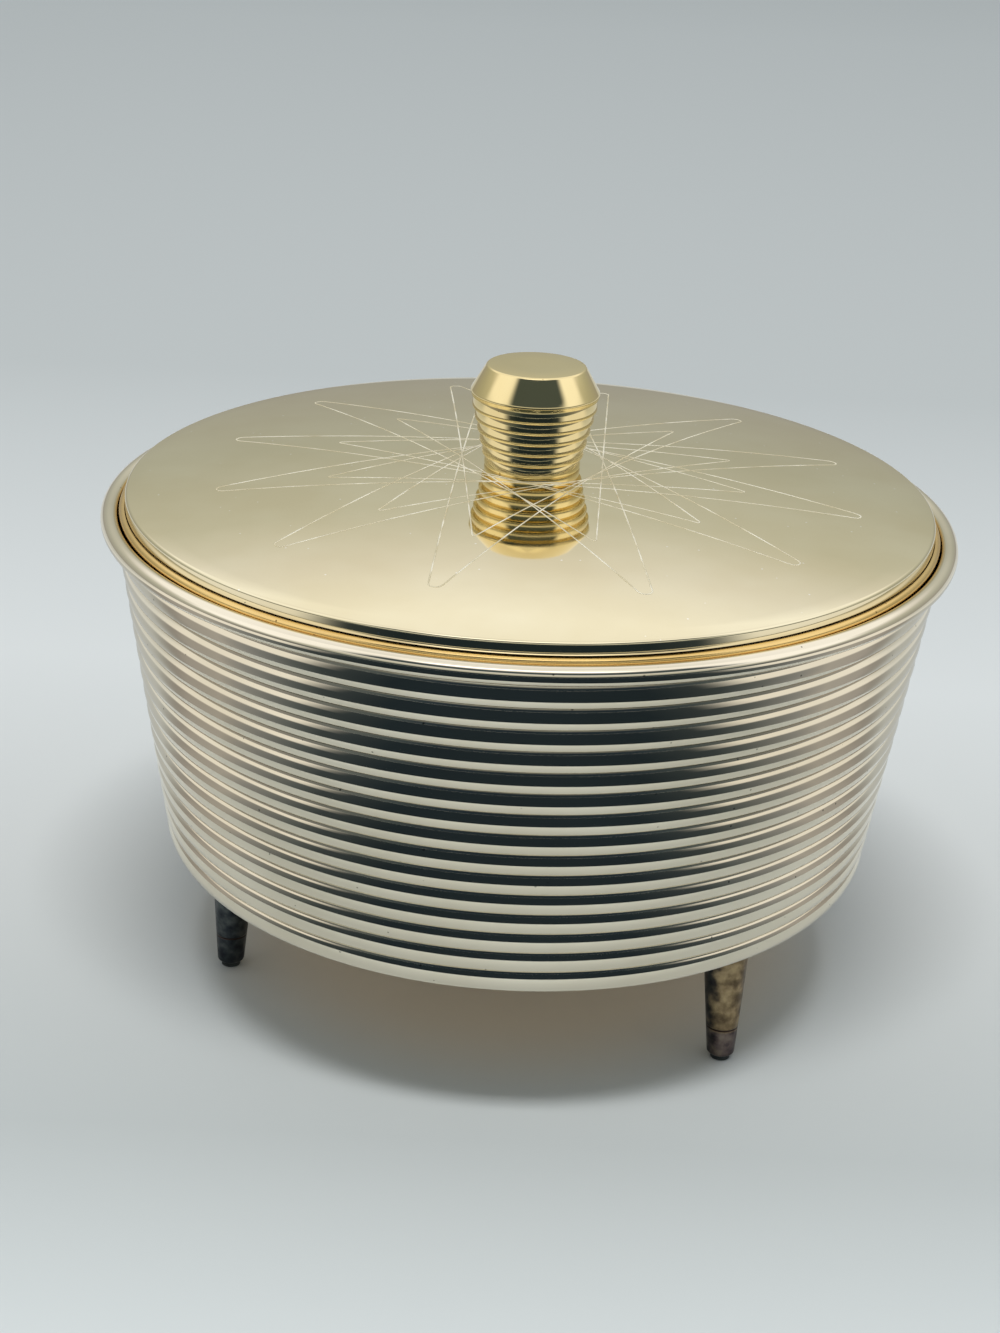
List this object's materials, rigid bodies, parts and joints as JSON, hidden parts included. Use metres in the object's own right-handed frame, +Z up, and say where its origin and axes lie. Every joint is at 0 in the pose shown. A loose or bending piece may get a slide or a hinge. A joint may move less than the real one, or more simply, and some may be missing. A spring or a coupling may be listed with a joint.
{
  "type": "powder box",
  "caption": "Round ribbed metal powder box on three tapered legs, with a lift-out liner bowl and a lift-off domed lid with a ribbed knob.",
  "frame": {"origin": "on the floor, under the centre of the round box", "axes": "+Z up along the axis of the box; +Y towards the leg at the back"},
  "size_m": [0.14, 0.14, 0.1059],
  "materials": {
    "silver_shell": "bright anodised, finely turned",
    "gold_liner": "gold anodised, satin inside",
    "champagne_lid": "pale gold anodised, near mirror",
    "gold_knob": "gold anodised, polished",
    "leg_brass": "tarnished, worn plating",
    "tip_rubber": "matt black",
    "screw_steel": "zinc plated"
  },
  "bodies": {
    "box": {"body_shell": "silver_shell", "leg_rear": "leg_brass", "leg_left": "leg_brass", "leg_right": "leg_brass", "foot_tips": "tip_rubber", "leg_screws": "screw_steel", "leg_washers": "screw_steel"},
    "liner": {"liner_bowl": "gold_liner"},
    "lid": {"lid": "champagne_lid", "knob": "gold_knob", "knob_screw": "screw_steel", "knob_washer": "screw_steel"}
  },
  "joints": [
    {"name": "liner_lift", "type": "slide", "parent": "box", "child": "liner", "axis": [0, 0, 1], "range_m": [0, 0.08]},
    {"name": "lid_lift", "type": "slide", "parent": "liner", "child": "lid", "axis": [0, 0, 1], "range_m": [0, 0.08]}
  ]
}
